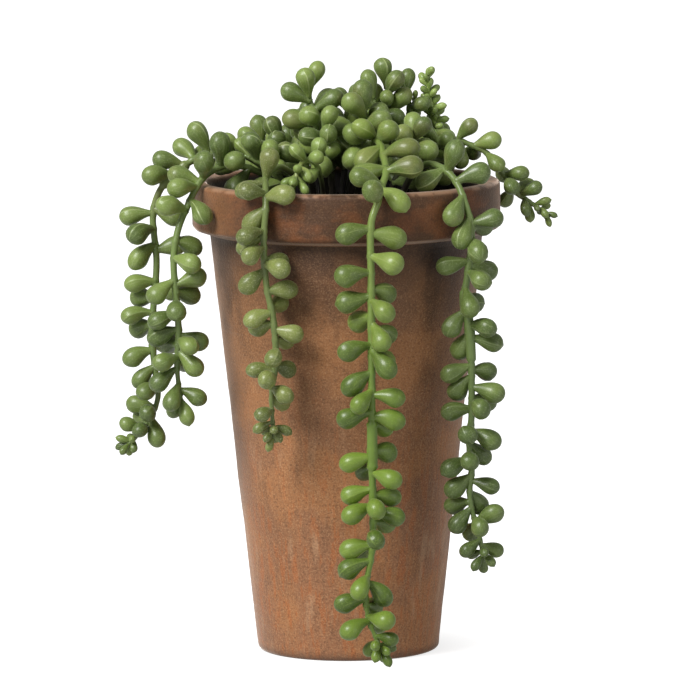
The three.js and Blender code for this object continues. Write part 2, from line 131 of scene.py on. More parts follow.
half = FLOOR_SIZE / 2
floor_corners = [(-half, -half, 0), (half, -half, 0), (half, half, 0), (-half, half, 0)]
floor = new_mesh("floor", floor_corners, [(0, 1, 2, 3)])
floor_white, tree, output = new_material("floor_white")
seen = tree.nodes.new("ShaderNodeLightPath").outputs["Is Camera Ray"]
place = tree.nodes.new("ShaderNodeTexCoord").outputs["Object"]
away = add_node(tree, "ShaderNodeVectorMath", {0: place}, operation="LENGTH").outputs["Value"]
# Nearer the pot's foot the glow drops: a painted shadow.
seen_glow_with_painted_shadow = add_node(tree, "ShaderNodeMapRange", {
    "Value": away, "From Min": GLOW_FROM * MM, "From Max": GLOW_TO * MM,
    "To Min": GLOW_IN_PAINTED_SHADOW, "To Max": GLOW_AWAY,
})
glow = add_node(tree, "ShaderNodeMapRange", {
    "Value": seen, "To Min": FLOOR_BOUNCE, "To Max": seen_glow_with_painted_shadow.outputs[0],
})
paper = add_node(tree, "ShaderNodeBsdfPrincipled", {
    "Base Color": (FLOOR_WHITE, FLOOR_WHITE, FLOOR_WHITE, 1),
    "Roughness": 0.9,
    "Specular IOR Level": 0.1,
    "Emission Color": (1, 1, 1, 1),
    "Emission Strength": glow.outputs[0],
})
tree.links.new(paper.outputs[0], output.inputs["Surface"])
floor.data.materials.append(floor_white)

# Pot: one piece of low-fired clay, thrown as a tapered cup with a straight, thick band for a
# rim. It is a little uneven, and stained and worn as a pot that has stood outside.
POT_HEIGHT, RIM_RADIUS, RIM_BAND, RIM_OVERHANG = 216, 70.3, 22, 8
FOOT_RADIUS, WALL, FLOOR_THICKNESS, EDGE_ROUND = 41.6, 6.6, 9, 2.4
POT_SIDES = 192
RIM_THICKER, SHOULDER_DROP, OUTLINE_STEP = 0.6, 2, 3
OUTER_SHOULDER = (RIM_RADIUS - RIM_OVERHANG, POT_HEIGHT - RIM_BAND - SHOULDER_DROP)
INNER_RIM_RADIUS = RIM_RADIUS - WALL - RIM_THICKER
INNER_FOOT_RADIUS = FOOT_RADIUS - WALL
WAVE, WAVE_WIDTH, SMALL_WAVE, SMALL_WAVE_WIDTH = 0.3, 32, 0.4, 9
DENT, DENT_WIDTH, DENT_STRETCH = 0.55, 11, (1.2, 1.2, 1.6)


def corner(radius, height, bend, start, end, steps=6):
    """The points of a rounded corner, from one angle to another in degrees."""
    angles = np.radians(np.linspace(start, end, steps))
    return [(radius + bend * math.cos(a), height + bend * math.sin(a)) for a in angles]


def spaced(outline, step):
    """An outline with extra points, so that none of its stretches is longer than the step."""
    points = [outline[0]]
    for end in outline[1:]:
        start = points[-1]
        parts = max(1, math.ceil(math.dist(start, end) / step))
        way = np.subtract(end, start)
        points += [tuple(np.add(start, way * k / parts)) for k in range(1, parts + 1)]
    return points


def turned(outline, sides):
    """Points and faces of a body turned about Z, whose outline starts and ends on the axis."""
    ring = np.radians(np.arange(sides) * 360 / sides)
    middle = np.array(outline[1:-1])
    points = [(r * math.cos(a), r * math.sin(a), z) for r, z in middle for a in ring]
    first, last = len(points), len(points) + 1
    points += [(0, 0, outline[0][1]), (0, 0, outline[-1][1])]
    faces = []
    for i in range(sides):
        j = (i + 1) % sides
        faces.append((first, j, i))
        for k in range(0, (len(middle) - 1) * sides, sides):
            faces.append((k + i, k + j, k + sides + j, k + sides + i))
        faces.append((last, len(points) - 2 - sides + i, len(points) - 2 - sides + j))
    return np.array(points), faces


def ripple(point, scale, stretch=(1, 1, 1)):
    """Smooth noise from -1 to 1 at a point, with bumps about as wide as the scale."""
    return noise.noise(Vector(np.divide(point, np.multiply(stretch, scale))))


pot_outline = spaced([
    (0, 0),
    *corner(FOOT_RADIUS - EDGE_ROUND, EDGE_ROUND, EDGE_ROUND, -90, 0),
    OUTER_SHOULDER,
    *corner(RIM_RADIUS - EDGE_ROUND, POT_HEIGHT - RIM_BAND + EDGE_ROUND, EDGE_ROUND, -60, 0),
    *corner(RIM_RADIUS - EDGE_ROUND, POT_HEIGHT - EDGE_ROUND, EDGE_ROUND, 0, 90),
    *corner(INNER_RIM_RADIUS + EDGE_ROUND, POT_HEIGHT - EDGE_ROUND, EDGE_ROUND, 90, 180),
    (INNER_FOOT_RADIUS, FLOOR_THICKNESS),
    (0, FLOOR_THICKNESS),
], OUTLINE_STEP)
pot_points, pot_faces = turned(pot_outline, POT_SIDES)
for point in pot_points:
    outward = np.array([point[0], point[1], 0]) / max(1, math.hypot(point[0], point[1]))
    on_band = point[2] > POT_HEIGHT - RIM_BAND
    wave = WAVE * ripple(point, WAVE_WIDTH)
    wave += SMALL_WAVE * WAVE * ripple(point + 90, SMALL_WAVE_WIDTH)
    wave += DENT * ripple(point + 40, DENT_WIDTH, DENT_STRETCH) * on_band
    point += outward * wave * (point[2] > EDGE_ROUND)
pot = new_mesh("clay_pot", pot_points, pot_faces)


def maths(tree, operation, first, second):
    """The result of a sum on two values, each a number or a socket."""
    node = add_node(tree, "ShaderNodeMath", {0: first, 1: second}, operation=operation)
    return node.outputs[0]


# The speckle group puts out a mask of small soft spots, which clay, leaves and soil all have.
speckle = bpy.data.node_groups.new("speckle", "ShaderNodeTree")
speckle.interface.new_socket("Place", in_out="INPUT", socket_type="NodeSocketVector")
for name in ("Spots per metre", "Threshold", "Softness"):
    speckle.interface.new_socket(name, in_out="INPUT", socket_type="NodeSocketFloat")
speckle.interface.new_socket("Mask", in_out="OUTPUT", socket_type="NodeSocketFloat")
given = speckle.nodes.new("NodeGroupInput").outputs
spots = add_node(speckle, "ShaderNodeTexNoise", {
    "Vector": given["Place"], "Scale": given["Spots per metre"], "Detail": 1.5, "Roughness": 0.5,
})
above = maths(speckle, "ADD", given["Threshold"], given["Softness"])
mask = add_node(speckle, "ShaderNodeMapRange", {
    "Value": spots.outputs["Fac"], "From Min": given["Threshold"], "From Max": above,
})
group_output = speckle.nodes.new("NodeGroupOutput")
speckle.links.new(mask.outputs[0], group_output.inputs["Mask"])


def speckled(tree, place, per_metre, threshold, softness):
    """The mask of a speckle group in this tree."""
    node = add_node(tree, "ShaderNodeGroup", {}, node_tree=speckle)
    tree.links.new(place, node.inputs["Place"])
    node.inputs["Spots per metre"].default_value = per_metre
    node.inputs["Threshold"].default_value = threshold
    node.inputs["Softness"].default_value = softness
    return node.outputs["Mask"]


def mixed(tree, share, first, second, blend="MIX"):
    """The colour between two colours, each a tuple or a socket."""
    colours = [(*c, 1) if isinstance(c, tuple) else c for c in (first, second)]
    node = add_node(tree, "ShaderNodeMix", {0: share, 6: colours[0], 7: colours[1]},
                    data_type="RGBA", blend_type=blend)
    return node.outputs[2]


def stained(tree, colour, mask, share, stain):
    """A colour with a stain over it, as strong as its mask times its share."""
    return mixed(tree, maths(tree, "MULTIPLY", mask, share), colour, stain)


def ramped(tree, value, low, high, start=0.0, end=1.0):
    """A value carried smoothly from one range to another, and held at its ends."""
    node = add_node(tree, "ShaderNodeMapRange", {
        "Value": value, "From Min": low, "From Max": high, "To Min": start, "To Max": end,
    }, interpolation_type="SMOOTHSTEP")
    return node.outputs[0]


def noisy(tree, place, per_metre, detail=3.0):
    """Noise with so many bumps per metre, which can be given for each of the three axes."""
    if isinstance(per_metre, tuple):
        stretched = add_node(tree, "ShaderNodeMapping", {"Vector": place, "Scale": per_metre})
        place, per_metre = stretched.outputs[0], 1
    node = add_node(tree, "ShaderNodeTexNoise", {
        "Vector": place, "Scale": per_metre, "Detail": detail, "Roughness": 0.55,
    })
    return node.outputs["Fac"]


# The clay is lighter low down, clouded, and darker in patches, more so higher up. The band
# is dark and burnt red, with painted light on its left towards the key light, and under it
# a damp stain and painted shade, stronger away from the key light. Streaks and scuffs run down
# to the foot, grit shows all over, the inside of the wall is painted near-black as shade, and
# fine dust gives the clay a sheen where it turns away. Heights in the materials are in metres,
# as the shader sees them.
RIM_BOTTOM, RIM_TOP = (POT_HEIGHT - RIM_BAND) * MM, POT_HEIGHT * MM
CLAY, LOW_CLAY, CLAY_CLOUD = (0.245, 0.11, 0.045), (0.3, 0.132, 0.06), (0.38, 0.165, 0.062)
DARK_PATCH, DAMP_AND_SHADE = (0.12, 0.053, 0.022), (0.07, 0.03, 0.014)
BAND_DARK, BURNT_RED, BAND_PAINTED_LIGHT = (0.05, 0.021, 0.008), (0.15, 0.049, 0.014), (0.29, 0.125, 0.05)
RED_STREAK, DARK_STREAK, SCUFF = (0.39, 0.115, 0.028), (0.15, 0.07, 0.035), (0.5, 0.3, 0.17)
LIGHT_GRIT, DARK_GRIT = (0.6, 0.34, 0.17), (0.06, 0.026, 0.012)
WORN_TOP, DARK_FOOT_EDGE, PAINTED_SHADE_INSIDE = (0.42, 0.24, 0.14), (0.09, 0.05, 0.03), (0.012, 0.009, 0.008)
DUST, DUST_WEIGHT, DUST_ROUGHNESS = (1, 0.82, 0.7, 1), 0.75, 0.35

terracotta, tree, output = new_material("terracotta")
place = tree.nodes.new("ShaderNodeTexCoord").outputs["Object"]
axes = add_node(tree, "ShaderNodeSeparateXYZ", {"Vector": place}).outputs
height = axes["Z"]
level = add_node(tree, "ShaderNodeCombineXYZ", {"X": axes["X"], "Y": axes["Y"]}).outputs[0]
radius = add_node(tree, "ShaderNodeVectorMath", {0: level}, operation="LENGTH").outputs["Value"]
round_side = maths(tree, "DIVIDE", axes["X"], radius)
low_down = ramped(tree, height, 0.16, 0.03)
on_band = ramped(tree, height, RIM_BOTTOM - 0.0002, RIM_BOTTOM + 0.0005)

clouds = noisy(tree, place, 24)
colour = mixed(tree, low_down, CLAY, LOW_CLAY)
colour = mixed(tree, ramped(tree, clouds, 0.47, 0.6, 0, 0.8), colour, CLAY_CLOUD)
patches = ramped(tree, noisy(tree, place, (55, 55, 24), 4), 0.5, 0.64, 0, 0.65)
colour = stained(tree, colour, patches, ramped(tree, height, 0.05, 0.13, 0.3, 1), DARK_PATCH)
burnt = ramped(tree, noisy(tree, place, (60, 60, 95), 4), 0.42, 0.64)
band_colour = mixed(tree, burnt, BAND_DARK, BURNT_RED)
# The band is paler on its left, towards the key light: painted light.
band_colour = mixed(tree, ramped(tree, round_side, -0.6, -0.9, 0, 0.75), band_colour, BAND_PAINTED_LIGHT)
colour = stained(tree, colour, on_band, 0.9, band_colour)
# Under the band: a damp stain and painted shade, weaker on the left towards the key light.
damp_and_shade = maths(tree, "SUBTRACT", ramped(tree, noisy(tree, place, 34), 0.32, 0.6), on_band)
damp_and_shade = maths(tree, "MULTIPLY", ramped(tree, height, 0.15, 0.192), damp_and_shade)
colour = stained(tree, colour, damp_and_shade, ramped(tree, round_side, -0.8, -0.45, 0.1, 0.6), DAMP_AND_SHADE)

streaks = noisy(tree, place, (420, 420, 55), 4)
scuffs = noisy(tree, place, (150, 150, 30), 3)
for marks, faint, full, share, stain in (
    (streaks, 0.5, 0.62, 0.6, RED_STREAK),
    (streaks, 0.46, 0.34, 0.32, DARK_STREAK),
    (scuffs, 0.55, 0.7, 0.5, SCUFF),
):
    low_marks = maths(tree, "MULTIPLY", ramped(tree, marks, faint, full), low_down)
    colour = stained(tree, colour, low_marks, share, stain)

grit_share = maths(tree, "SUBTRACT", 0.4, maths(tree, "MULTIPLY", on_band, 0.3))
colour = stained(tree, colour, speckled(tree, place, 1500, 0.48, 0.24), grit_share, LIGHT_GRIT)
colour = stained(tree, colour, speckled(tree, place, 1150, 0.5, 0.24), 0.5, DARK_GRIT)
top_edge = ramped(tree, height, RIM_TOP - 0.0022, RIM_TOP - 0.0005)
top_edge = maths(tree, "MULTIPLY", top_edge, ramped(tree, noisy(tree, place, 120), 0.4, 0.55))
colour = stained(tree, colour, top_edge, 0.6, WORN_TOP)
# The lowest few millimetres of the foot are darker.
colour = stained(tree, colour, ramped(tree, height, 0.005, 0.001), 0.6, DARK_FOOT_EDGE)
# The inside of the wall, below its top, is painted near-black: painted shade.
inner_slope = (INNER_RIM_RADIUS - INNER_FOOT_RADIUS) / (POT_HEIGHT - FLOOR_THICKNESS)
inner_wall = add_node(tree, "ShaderNodeMath", {
    0: height, 1: inner_slope, 2: INNER_FOOT_RADIUS * MM,
}, operation="MULTIPLY_ADD").outputs[0]
within_wall = ramped(tree, maths(tree, "SUBTRACT", radius, inner_wall), 0.0025, 0.0005)
below_top = ramped(tree, height, RIM_TOP - 0.0004, RIM_TOP - 0.004)
colour = stained(tree, colour, within_wall, below_top, PAINTED_SHADE_INSIDE)

grain = noisy(tree, place, 900, 2)
wheel_lines = noisy(tree, place, (20, 20, 420), 2)
relief = maths(tree, "MULTIPLY", maths(tree, "ADD", grain, wheel_lines), 0.5)
bump = add_node(tree, "ShaderNodeBump", {"Strength": 0.9, "Distance": 0.0005, "Height": relief})
clay = add_node(tree, "ShaderNodeBsdfPrincipled", {
    "Base Color": colour,
    "Roughness": ramped(tree, clouds, 0.3, 0.7, 0.5, 0.68),
    "Specular IOR Level": 0.35,
    "Sheen Weight": DUST_WEIGHT,
    "Sheen Roughness": DUST_ROUGHNESS,
    "Sheen Tint": DUST,
    "Normal": bump.outputs[0],
})
tree.links.new(clay.outputs[0], output.inputs["Surface"])
pot.data.materials.append(terracotta)
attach(pot, "root")
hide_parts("pot")

# Soil: a dark, gritty mix pressed into the pot, a little higher in the middle. Crumbs of bark
# and grit lie on it, each a small lump of twelve corners.
SOIL_EDGE, SOIL_DOME, SOIL_GAP = 203, 3, 0.3
SOIL_SIDES, SOIL_RINGS, SMOOTH_EDGE = 160, 50, 0.1
SOIL_ROUGH, LUMP_WIDTH, GRIT_SHARE, GRIT_WIDTH = 0.7, 4, 0.6, 1.7
CRUMBS, CRUMB_SIZE, CRUMB_SQUASH, CRUMB_UNEVEN = 420, (0.8, 2.3), (0.5, 1), (0.75, 1.1)
CRUMB_MARGIN, CRUMB_RADIUS, CRUMB_LIFT, CRUMB_SEED = 2.5, 0.6, 0.2, 5
CORNER_REACH, CORNER_HEIGHT = 0.894, 0.447
DARK_SOIL, BROWN_SOIL, PALE_GRIT = (0.011, 0.009, 0.008), (0.035, 0.024, 0.017), (0.16, 0.12, 0.085)


def inner_radius(level):
    """The radius inside the pot at a level."""
    share = (level - FLOOR_THICKNESS) / (POT_HEIGHT - EDGE_ROUND - FLOOR_THICKNESS)
    return INNER_FOOT_RADIUS + (INNER_RIM_RADIUS - INNER_FOOT_RADIUS) * share


soil_radius = inner_radius(SOIL_EDGE) - SOIL_GAP
soil_floor = FLOOR_THICKNESS + SOIL_GAP
soil_dome = [(soil_radius * (1 - k / SOIL_RINGS),
              SOIL_EDGE + SOIL_DOME * math.sin(math.pi / 2 * k / SOIL_RINGS))
             for k in range(1, SOIL_RINGS)]
soil_points, soil_faces = turned([
    (0, soil_floor),
    (inner_radius(soil_floor) - SOIL_GAP, soil_floor),
    (soil_radius, SOIL_EDGE),
    *soil_dome,
    (0, SOIL_EDGE + SOIL_DOME),
], SOIL_SIDES)
for point in soil_points:
    if point[2] >= SOIL_EDGE and math.hypot(point[0], point[1]) < soil_radius - SMOOTH_EDGE:
        grit = GRIT_SHARE * ripple(point, GRIT_WIDTH)
        point[2] += SOIL_ROUGH * (ripple(point, LUMP_WIDTH) + grit)

upper, lower = np.arange(5) * math.tau / 5, (np.arange(5) + 0.5) * math.tau / 5
crumb_corners = np.array([
    (0, 0, 1),
    *[(CORNER_REACH * math.cos(a), CORNER_REACH * math.sin(a), CORNER_HEIGHT) for a in upper],
    *[(CORNER_REACH * math.cos(a), CORNER_REACH * math.sin(a), -CORNER_HEIGHT) for a in lower],
    (0, 0, -1),
])
crumb_faces = []
for i, j in zip(range(5), (1, 2, 3, 4, 0)):
    crumb_faces += [(0, 1 + i, 1 + j), (1 + i, 6 + i, 1 + j),
                    (6 + i, 6 + j, 1 + j), (11, 6 + j, 6 + i)]

crumb_draw = np.random.default_rng(CRUMB_SEED)
all_points, all_faces = [soil_points], list(soil_faces)
for crumb in range(CRUMBS):
    reach = (soil_radius - CRUMB_MARGIN) * math.sqrt(crumb_draw.random())
    angle = crumb_draw.random() * math.tau
    size = crumb_draw.uniform(*CRUMB_SIZE)
    level = SOIL_EDGE + SOIL_DOME * (1 - reach / soil_radius) + size * CRUMB_LIFT
    turn, axis = crumb_draw.random() * math.tau, Vector(crumb_draw.normal(size=3)).normalized()
    squash = crumb_draw.uniform(*CRUMB_SQUASH, 3)
    lump = crumb_corners * crumb_draw.uniform(*CRUMB_UNEVEN, (len(crumb_corners), 1)) * squash
    lump = lump @ np.array(Matrix.Rotation(turn, 3, axis)).T * size * CRUMB_RADIUS
    all_points.append(lump + (reach * math.cos(angle), reach * math.sin(angle), level))
    first = len(soil_points) + crumb * len(crumb_corners)
    all_faces += [tuple(point + first for point in face) for face in crumb_faces]
soil = new_mesh("potting_soil", np.concatenate(all_points), all_faces)

potting_mix, tree, output = new_material("potting_mix")
place = tree.nodes.new("ShaderNodeTexCoord").outputs["Object"]
colour = mixed(tree, ramped(tree, noisy(tree, place, 160), 0.4, 0.65), DARK_SOIL, BROWN_SOIL)
colour = mixed(tree, speckled(tree, place, 500, 0.66, 0.05), colour, PALE_GRIT)
bump = add_node(tree, "ShaderNodeBump", {
    "Strength": 1, "Distance": 0.0006, "Height": noisy(tree, place, 800, 4),
})
mix_shader = add_node(tree, "ShaderNodeBsdfPrincipled", {
    "Base Color": colour, "Roughness": 0.95, "Specular IOR Level": 0.2, "Normal": bump.outputs[0],
})
tree.links.new(mix_shader.outputs[0], output.inputs["Surface"])
soil.data.materials.append(potting_mix)
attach(soil, "root")
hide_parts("soil")

# Stems and leaves: each stem is rooted in the soil, and its club-shaped leaves grow all round it
# on short necks, small and close at the tip. A leaf takes the first place near its own that has
# room beside the pot, the stems and the leaves before it.
LEAF_GIRTH, ROOT_SINK, LEAF_JITTER, LEAF_TAPER = 0.285, 0.4, 0.06, 0.16
TURN_JITTER, LEAN_JITTER, TIP_LENGTH, TIP_LEAN = 12, 7, 15, 28
ROSETTE_LENGTH, ROSETTE_LEAN, GOLDEN_ANGLE, EIGHTH_TURN = 6, 5, 137.5, 45
SIZES, TURNS, LEANS = (1, 0.8), (0, 20, -20, 40, -40, 60, -60), (0, 14, -14, 28, -28, 42)
LEAN_STEP, STRAIGHT_ON, BALL_STEP, ROOT_REACH = 25, 80, 2, 7
ROOM_TO_OTHERS, ROOM_ON_OWN_STEM = 0.5, -0.6
OVER_THE_FRONT, OVER_THE_BACK, UPRIGHT = (0, -1, 1), (0, 1, 1), (0, -1, 0)

# Three balls stand for the room that a leaf takes: the place of each along the leaf, its radius
# as a share of the leaf's, and whether it may touch the leaf's own stem.
LEAF_BALLS = ((0.4, 0.66, True), (0.62, 1.02, False), (0.8, 0.88, False))

# A stem's order gives the side of each of its leaves in eighths of a turn from where it faces,
# clockwise as seen along the stem. + and - lean the leaf to the tip or the root, ^ grows
# straight on, and a dot stays bare. A stem comes straight up at its root, then takes its route.
# Its foot stays bare, and its leaves shrink to a share at the tip, which a rosette of young ones
# may close. A sleeve is a stretch of stem that is so many times thicker, and a light below 1
# keeps the leaves nearer their deep green, which paints shade on a strand away from the key light.
# What a stem doesn't say is as usual.
USUAL = dict(slot="leaf", radius=1.4, bare=20, tip=1, rosette=0, light=1, sleeves=())
STEMS = [
    dict(name="strand_front", facing=OVER_THE_FRONT, radius=1.6, bare=36, leaf=16.2, lean=17,
         tip=0.5, rosette=7, looks="rich_leaf", sleeves=((202, 223, 1.5),), root=(12, -13),
         order="...1+.7+..2+..6....26-....26+..0....25...7..2..527..37+5..27+5..2+..2+6..265...."
               "52.37..25026.5.0.23.2+..0+6+..25.725.73.",
         route=[(12, -15, 226), (13, -22, 236), (15, -31, 236), (17, -42, 231), (18, -56, 225),
                (16, -67, 219.5), (14, -75, 213), (11, -78, 203), (11, -77, 180), (11, -77, 152),
                (11, -77, 125), (11, -77, 95), (11, -76, 60), (8, -76, 40), (9, -76, 26),
                (13, -76, 15), (15, -76, 10)]),
    dict(name="strand_front_left", facing=OVER_THE_FRONT, slot="grey_leaf", bare=34, leaf=14.8,
         lean=12, tip=0.45, rosette=8, root=(-17, -21),
         order=".........0-.2..26.3+...12.2.572+...6..52.26.5.0..521.7.5.1.26.",
         route=[(-22, -27, 219), (-30, -40, 226), (-36, -52, 222), (-36, -61, 218.5),
                (-36, -67, 210), (-37, -68, 195), (-36, -68, 176), (-33, -67, 160), (-32, -66, 142),
                (-34, -66, 125), (-33, -66, 106)]),
    # The right strand's leaves are kept nearer their deep green: painted shade away from the key
    # light.
    dict(name="strand_right", facing=OVER_THE_FRONT, radius=1.5, bare=38, leaf=15.6, lean=17,
         tip=0.5, rosette=7, light=0.5, sleeves=((114, 146, 1.5),), root=(24, -19),
         order=".....1-7-..6..2+...36-5.1...257..6+..52+..73+6....253+.6.572..06.6+.02..2+6.6+.3"
               "2+.06-4.26..",
         route=[(29, -24, 219), (36, -33, 226), (43, -42, 225.5), (49, -49, 220.5),
                (53, -53.5, 212), (56, -55, 201), (56, -53, 190), (54, -52, 175), (53, -52, 167),
                (55, -52, 156), (56, -52, 138), (56, -52, 115), (55, -52, 101), (56, -52, 90),
                (55, -51, 78), (57, -51, 67), (60, -51, 56), (61, -51, 47)]),
    dict(name="strand_left_inner", facing=OVER_THE_FRONT, radius=1.5, bare=30, leaf=16, lean=16,
         tip=0.8, root=(-26, -12),
         order="..5.327.0-...0-21+..6+.1.....5..7...2+6-5.0.1..26736+152+..1+62+^",
         route=[(-33, -14, 217), (-46, -18, 224), (-56, -22, 224.5), (-65, -27, 219.5),
                (-71, -33, 209), (-76, -37, 197), (-78, -38, 183), (-77, -38, 166), (-76, -38, 149),
                (-77, -38, 135), (-75, -38, 117)]),
    dict(name="strand_left_outer", facing=OVER_THE_FRONT, radius=1.5, bare=40, leaf=15.2, lean=14,
         tip=0.42, rosette=8, sleeves=((66, 82, 1.45),), root=(-30, 0),
         order="..5..31..2.1+..1+......62..1..2+6-.....27.2..2.3...52..2+...2...206+271...",
         route=[(-36, -1, 220), (-47, -3, 228), (-58, -5, 229.5), (-68, -7, 227), (-78, -9, 220),
                (-85, -10, 212), (-88, -10, 200), (-86.5, -10, 180), (-88, -10, 160),
                (-89, -10, 146), (-87.5, -10, 130), (-86.5, -10, 117), (-92, -10, 105),
                (-101, -10, 95)]),
    dict(name="strand_far_right", facing=OVER_THE_FRONT, radius=1.2, bare=32, leaf=13, lean=24,
         tip=0.42, rosette=7, root=(26, 6),
         order="......1...73.7+3-.2+...371.3672371.",
         route=[(30, 8, 222), (36, 11, 235), (43, 12, 236), (50, 13, 233), (58, 13, 230),
                (65, 13, 226), (72, 13, 217), (77, 13.5, 209), (84, 14, 204), (92, 14, 198)]),
    dict(name="shoot_top_left", facing=UPRIGHT, bare=32, leaf=15.6, lean=26, root=(-8, -1),
         order="..5.3.06-.2-.6^",
         route=[(-11, -4, 222), (-13, -6, 238), (-14, -5, 247), (-16, -4, 252), (-18, -4, 256.5)]),
    dict(name="shoot_top_left_back", facing=UPRIGHT, bare=34, leaf=15.8, lean=30, root=(-5, 8),
         order=".2.6..1-2..^",
         route=[(-9, 8, 222), (-13, 6, 238), (-16, 5, 248), (-17, 5, 254), (-15, 5, 259.5)]),
    dict(name="shoot_top_middle", facing=UPRIGHT, bare=34, leaf=16, lean=32, tip=0.95, root=(4, 3),
         order=".3.5.02-6-.4-^",
         route=[(9, 3, 222), (12, 4, 242), (13, 5, 250), (12, 6, 255)]),
    dict(name="shoot_top_right", facing=UPRIGHT, bare=34, leaf=15.8, lean=30, tip=0.95,
         root=(13, 8),
         order=".30-5.2-1.0-^",
         route=[(18, 10, 222), (20, 12, 240), (20, 12, 250), (18.5, 12, 260)]),
    dict(name="shoot_far_right", facing=UPRIGHT, radius=1.3, bare=34, leaf=14, lean=34, tip=0.9,
         root=(19, 15),
         order="...3.6.2..3^",
         route=[(26, 16, 222), (29, 17, 238), (29, 16, 250), (26.5, 15, 259)]),
    dict(name="shoot_buds", facing=UPRIGHT, slot="young_leaf", radius=0.9, bare=38, leaf=6.6,
         lean=34, tip=0.9, root=(25, 22),
         order="..361.2-60.25172+6+0^",
         route=[(34, 22, 221), (40, 20, 234), (40, 17, 245), (38, 16, 254), (38, 16, 262)]),
    dict(name="shoot_buds_left", facing=UPRIGHT, slot="young_leaf", radius=0.9, bare=34, leaf=6.4,
         lean=34, tip=0.9, root=(19, 26),
         order="..261.60.25.2",
         route=[(26, 25, 221), (31, 22, 236), (33, 18, 246), (31, 16, 252)]),
    dict(name="shoot_middle", facing=UPRIGHT, bare=26, leaf=17.2, lean=22, root=(2, -5),
         order=".15.3.0.6-2.7^",
         route=[(4, -8, 221), (6, -11, 233), (8, -12, 243), (8, -11, 249.5)]),
    dict(name="shoot_middle_left", facing=UPRIGHT, leaf=16, lean=24, root=(-6, -10),
         order="..7..5.07-1",
         route=[(-7, -14, 222), (-9, -17, 234), (-10, -17, 243)]),
    dict(name="shoot_left", facing=UPRIGHT, leaf=16.2, lean=26, root=(-14, -9),
         order=".5..3.6.^",
         route=[(-16, -16, 217), (-18, -21, 225), (-19.5, -22, 232.5)]),
    dict(name="shoot_left_back", facing=UPRIGHT, bare=24, leaf=15.4, lean=28, root=(-18, 6),
         order=".5.3.01.42-",
         route=[(-23, 4, 219), (-27, 2, 229), (-33, 1, 232), (-40, 1, 229)]),
    dict(name="shoot_far_left", facing=UPRIGHT, leaf=15.4, lean=28, root=(-22, -16),
         order=".5.3.1.0-^",
         route=[(-29, -22, 218), (-38, -26, 226), (-46, -26, 230)]),
    dict(name="shoot_pale", facing=OVER_THE_FRONT, slot="young_leaf", radius=1.1, bare=30, leaf=11,
         lean=20, tip=0.75, rosette=9, root=(-10, -27),
         order=".6.1.7-1.6.2.",
         route=[(-11, -35, 219), (-14, -42, 228), (-19, -46, 229), (-22, -50, 224),
                (-22, -52, 219)]),
    dict(name="shoot_right", facing=UPRIGHT, leaf=16.4, lean=28, root=(18, -8),
         order="12-.5.0427.0",
         route=[(24, -12, 220), (29, -16, 230), (31, -16, 238)]),
    dict(name="shoot_right_back", facing=UPRIGHT, leaf=14.6, lean=28, tip=0.9, root=(31, 2),
         order="23-.6.3.07-",
         route=[(36, 0, 220), (41, -3, 230), (43, -5, 236)]),
    dict(name="back_shoot_far_left", facing=UPRIGHT, leaf=15.6, lean=30, tip=0.8, root=(-26, 14),
         order="03614725",
         route=[(-31, 20, 220), (-38, 26, 229), (-44, 30, 233)]),
    dict(name="back_shoot_left", facing=UPRIGHT, leaf=15.6, lean=30, tip=0.8, root=(-12, 22),
         order="36147250",
         route=[(-14, 28, 222), (-16, 34, 233), (-17, 37, 240)]),
    dict(name="back_shoot_middle", facing=UPRIGHT, bare=22, leaf=15.8, lean=30, tip=0.9,
         root=(-2, 16),
         order="614725036",
         route=[(0, 19, 224), (1, 21, 240), (2, 22, 248)]),
    dict(name="back_shoot_right", facing=UPRIGHT, leaf=15.6, lean=30, tip=0.8, root=(9, 27),
         order="14725036",
         route=[(12, 32, 222), (14, 37, 232), (16, 40, 238)]),
    dict(name="back_shoot_far_right", facing=UPRIGHT, leaf=14.6, lean=30, tip=0.7, root=(30, 28),
         order="47250361",
         route=[(36, 32, 220), (43, 35, 227), (48, 36, 229)]),
    dict(name="back_strand_left", facing=OVER_THE_BACK, radius=1.5, bare=26, leaf=15.4, lean=17,
         tip=0.5, rosette=6, root=(-16, 32),
         order=".7053.614725036147250361472",
         route=[(-20, 41, 218), (-23, 54, 223), (-23, 65, 219), (-22, 73, 210), (-21, 76, 195),
                (-20, 75, 160), (-21, 74, 120), (-20, 74, 88)]),
    dict(name="back_strand_right", facing=OVER_THE_BACK, radius=1.5, bare=26, leaf=15.2, lean=17,
         tip=0.5, rosette=6, root=(22, 31),
         order=".0361.725036147250361",
         route=[(24, 40, 218), (26, 52, 223), (27, 63, 219), (27, 71, 210), (26, 74, 195),
                (27, 73, 160), (26, 72, 134)]),
    dict(name="back_strand_middle", facing=OVER_THE_BACK, bare=26, leaf=14.4, lean=17, tip=0.5,
         rosette=6, root=(0, 33),
         order=".25.03614725",
         route=[(2, 42, 218), (3, 54, 223), (3, 65, 222), (3, 73.5, 216), (3, 77, 205),
                (2, 77, 188), (2, 76, 172)]),
]
ROOT_LEVELS, LINE_PARTS, NEAR_STEP = (196, 206), 200, 1e-4
SEED_STEP, DRAW_TIMES, DRAW_RANGE = 7919, 16807, 2147483647
SLOPE_REACH, SLOPE_RISE = 0.6, 0.7


def unit(vector):
    """The vector with a length of 1."""
    return vector / np.linalg.norm(vector)


